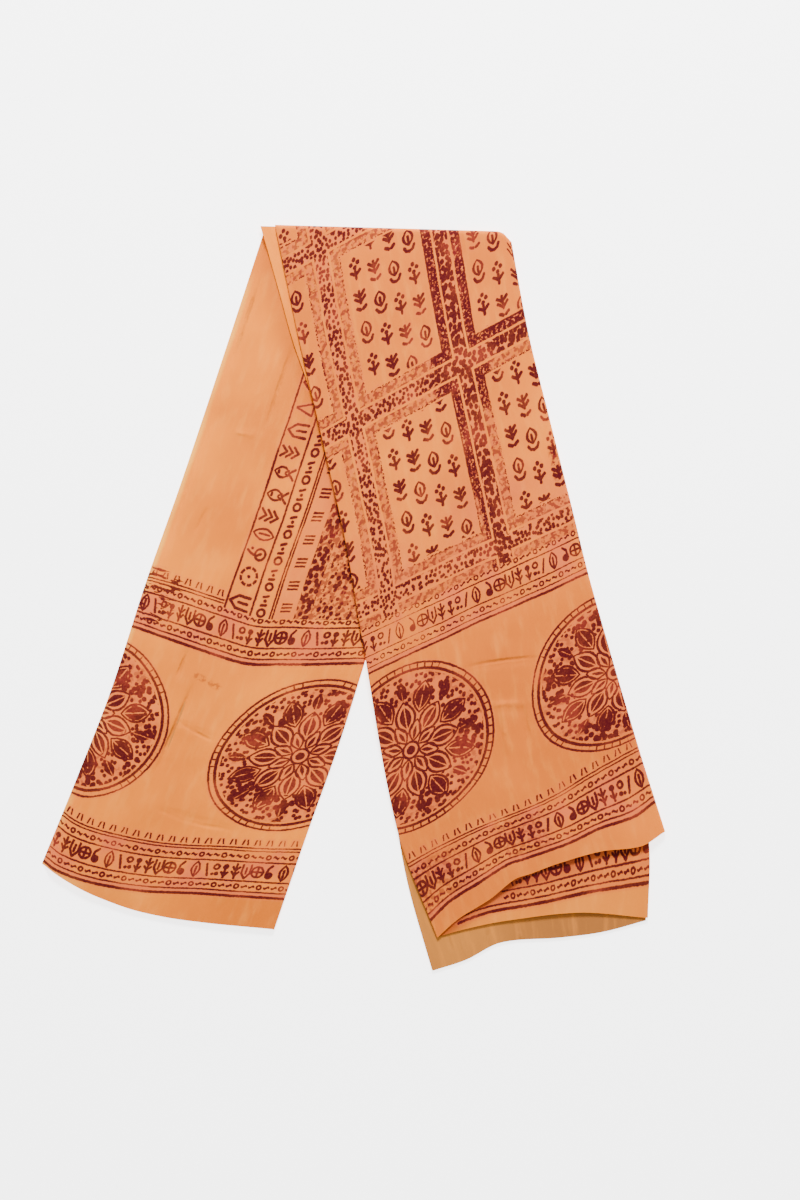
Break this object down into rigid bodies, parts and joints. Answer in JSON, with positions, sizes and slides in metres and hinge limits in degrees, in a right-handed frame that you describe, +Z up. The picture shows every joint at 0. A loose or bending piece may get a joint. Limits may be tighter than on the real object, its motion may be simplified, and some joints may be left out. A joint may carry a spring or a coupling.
{
  "type": "hindu prayer shawl",
  "caption": "Thin cotton prayer shawl with a block-printed border, folded lengthwise to a narrow strip and laid flat bent into an upside-down V.",
  "frame": {"origin": "on the floor under the middle of the laid cloth's outline", "axes": "+Z up from the floor through the layers; +Y towards the fold across the strip, so that the two hems lie towards -Y; +X to the right, the side of the front leg"},
  "size_m": [0.6364, 0.768, 0.0099],
  "materials": {
    "printed_cotton": "soft matt plain-weave cotton, saffron orange with dark crimson block print",
    "printed_cotton_wrong_side": "wrong side of the printed cotton, the crimson print showing through more faintly",
    "plain_cotton": "soft matt plain-weave cotton, saffron orange, unprinted margin"
  },
  "bodies": {
    "root": {"front_leg_top_layer": "printed_cotton", "front_leg_second_layer": "printed_cotton_wrong_side", "front_leg_lower_layers": "plain_cotton", "back_leg_top_layer": "printed_cotton", "back_leg_lower_layers": "plain_cotton"}
  },
  "joints": []
}
